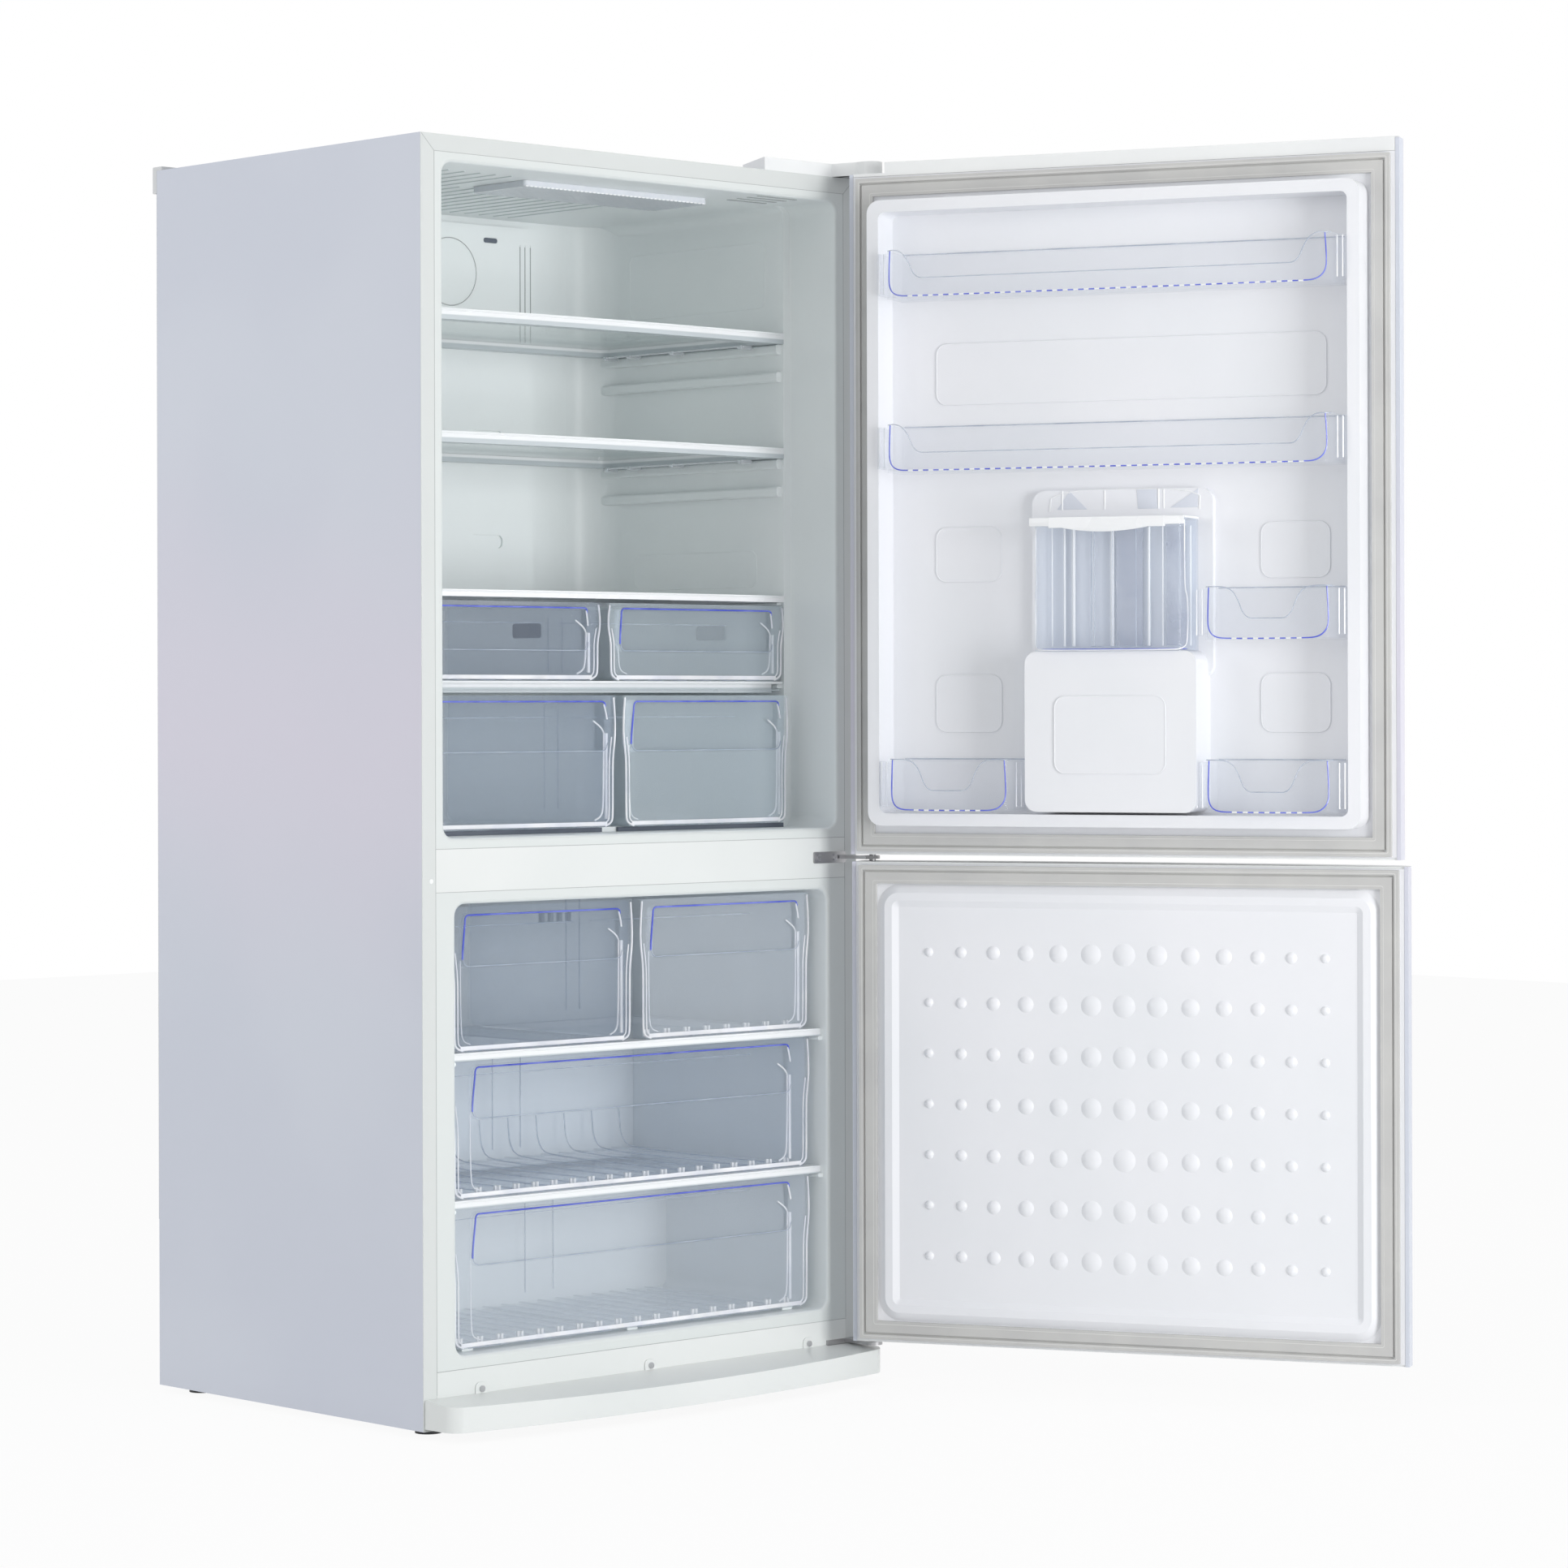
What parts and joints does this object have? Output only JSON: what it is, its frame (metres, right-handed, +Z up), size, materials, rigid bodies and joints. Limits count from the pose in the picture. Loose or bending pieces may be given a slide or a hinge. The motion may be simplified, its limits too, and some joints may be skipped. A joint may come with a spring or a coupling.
{
  "type": "bottom freezer refrigerator",
  "caption": "Tall two-door refrigerator with a freezer below, doors open, glass shelves, clear drawers, door balconies and a water tank.",
  "frame": {"origin": "on the floor, midway between the four levelling feet", "axes": "+Z up, -Y towards the front, +X towards the hinge side of both doors"},
  "size_m": [1.19, 1.4527, 1.8275],
  "materials": {
    "painted_steel": "satin paint",
    "front_paint": "satin paint",
    "galvanised_steel": "dull zinc",
    "hinge_steel": "brushed",
    "bright_steel": "polished",
    "white_liner": "soft gloss",
    "white_trim": "soft gloss",
    "grey_plastic": "fine texture",
    "dark_plastic": "fine texture",
    "clear_plastic": "clear",
    "shelf_glass": "clear",
    "lamp_lens": "frosted",
    "seal_rubber": "matt",
    "foam": "closed cell foam",
    "pump_paint": "gloss paint",
    "coil_aluminium": "bare"
  },
  "bodies": {
    "cabinet": {"cabinet_shell": "painted_steel", "front_rail": "front_paint", "mullion_cover": "front_paint", "back_panel": "galvanised_steel", "base_pan": "galvanised_steel", "compressor_tray": "galvanised_steel", "machine_cover": "galvanised_steel", "top_hinge_bracket": "hinge_steel", "middle_hinge_bracket": "hinge_steel", "bottom_hinge_bracket": "hinge_steel", "case_screws": "bright_steel", "shelf_rods": "bright_steel", "fridge_liner": "white_liner", "freezer_liner": "white_liner", "fridge_air_duct": "white_liner", "freezer_air_duct": "white_liner", "shelf_frames": "white_trim", "crisper_cover": "white_trim", "crisper_divider": "white_trim", "freezer_crossbars": "white_trim", "kick_plate": "grey_plastic", "top_hinge_cover": "grey_plastic", "rear_top_trim": "grey_plastic", "fan_motor": "grey_plastic", "control_box": "grey_plastic", "levelling_feet": "dark_plastic", "drip_pan": "dark_plastic", "shelf_glass": "shelf_glass", "cabin_lamp": "lamp_lens", "cord_gland": "seal_rubber", "cabinet_insulation": "foam", "compressor": "pump_paint", "evaporator": "coil_aluminium", "condenser": "coil_aluminium"},
    "fridge_door": {"fridge_door_skin": "painted_steel", "fridge_door_liner": "white_liner", "fridge_door_insulation": "foam", "fridge_door_caps": "grey_plastic", "fridge_door_gasket": "seal_rubber", "upper_long_balcony": "clear_plastic", "lower_long_balcony": "clear_plastic", "small_balconies": "clear_plastic", "water_tank": "clear_plastic", "dispenser_niche": "white_trim"},
    "freezer_door": {"freezer_door_skin": "painted_steel", "freezer_door_liner": "white_liner", "freezer_door_insulation": "foam", "freezer_door_caps": "grey_plastic", "freezer_door_gasket": "seal_rubber"},
    "upper_left_crisper_drawer": {"upper_left_crisper": "clear_plastic"},
    "upper_right_crisper_drawer": {"upper_right_crisper": "clear_plastic"},
    "lower_left_crisper_drawer": {"lower_left_crisper": "clear_plastic"},
    "lower_right_crisper_drawer": {"lower_right_crisper": "clear_plastic"},
    "upper_left_freezer_drawer": {"upper_left_freezer_drawer": "clear_plastic"},
    "upper_right_freezer_drawer": {"upper_right_freezer_drawer": "clear_plastic"},
    "middle_freezer_drawer": {"middle_freezer_drawer": "clear_plastic"},
    "bottom_freezer_drawer": {"bottom_freezer_drawer": "clear_plastic"},
    "fan": {"fan_rotor": "dark_plastic"},
    "tank_flap": {"tank_lid": "white_trim"},
    "water_lever": {"dispenser_lever": "grey_plastic"}
  },
  "joints": [
    {"name": "fridge_door_hinge", "type": "hinge", "parent": "cabinet", "child": "fridge_door", "pos_m": [0.403, -0.363, 1.3], "axis": [0, 0, 1], "range_deg": [-114, 16]},
    {"name": "freezer_door_hinge", "type": "hinge", "parent": "cabinet", "child": "freezer_door", "pos_m": [0.403, -0.363, 0.42], "axis": [0, 0, 1], "range_deg": [-116.5, 13.5]},
    {"name": "upper_left_crisper_slide", "type": "slide", "parent": "cabinet", "child": "upper_left_crisper_drawer", "axis": [0, -1, 0], "range_m": [0, 0.3]},
    {"name": "upper_right_crisper_slide", "type": "slide", "parent": "cabinet", "child": "upper_right_crisper_drawer", "axis": [0, -1, 0], "range_m": [0, 0.14]},
    {"name": "lower_left_crisper_slide", "type": "slide", "parent": "cabinet", "child": "lower_left_crisper_drawer", "axis": [0, -1, 0], "range_m": [0, 0.3]},
    {"name": "lower_right_crisper_slide", "type": "slide", "parent": "cabinet", "child": "lower_right_crisper_drawer", "axis": [0, -1, 0], "range_m": [0, 0.15]},
    {"name": "upper_left_freezer_drawer_slide", "type": "slide", "parent": "cabinet", "child": "upper_left_freezer_drawer", "axis": [0, -1, 0], "range_m": [0, 0.3]},
    {"name": "upper_right_freezer_drawer_slide", "type": "slide", "parent": "cabinet", "child": "upper_right_freezer_drawer", "axis": [0, -1, 0], "range_m": [0, 0.3]},
    {"name": "middle_freezer_drawer_slide", "type": "slide", "parent": "cabinet", "child": "middle_freezer_drawer", "axis": [0, -1, 0], "range_m": [0, 0.3]},
    {"name": "bottom_freezer_drawer_slide", "type": "slide", "parent": "cabinet", "child": "bottom_freezer_drawer", "axis": [0, -1, 0], "range_m": [0, 0.3]},
    {"name": "fan_spin", "type": "hinge", "parent": "cabinet", "child": "fan", "pos_m": [0, 0.17, 0.646], "axis": [0, 1, 0], "continuous": true},
    {"name": "water_lever_hinge", "type": "hinge", "parent": "fridge_door", "child": "water_lever", "pos_m": [0.50409, -0.7646, 1.059], "axis": [-0.4067, 0.9135, 0], "range_deg": [0, 8], "stiffness_Nm_per_rad": 0.6, "springref_deg": -5.73},
    {"name": "tank_flap_hinge", "type": "hinge", "parent": "fridge_door", "child": "tank_flap", "pos_m": [0.52437, -0.75558, 1.2831], "axis": [-0.4067, 0.9135, 0], "range_deg": [0, 65]}
  ]
}
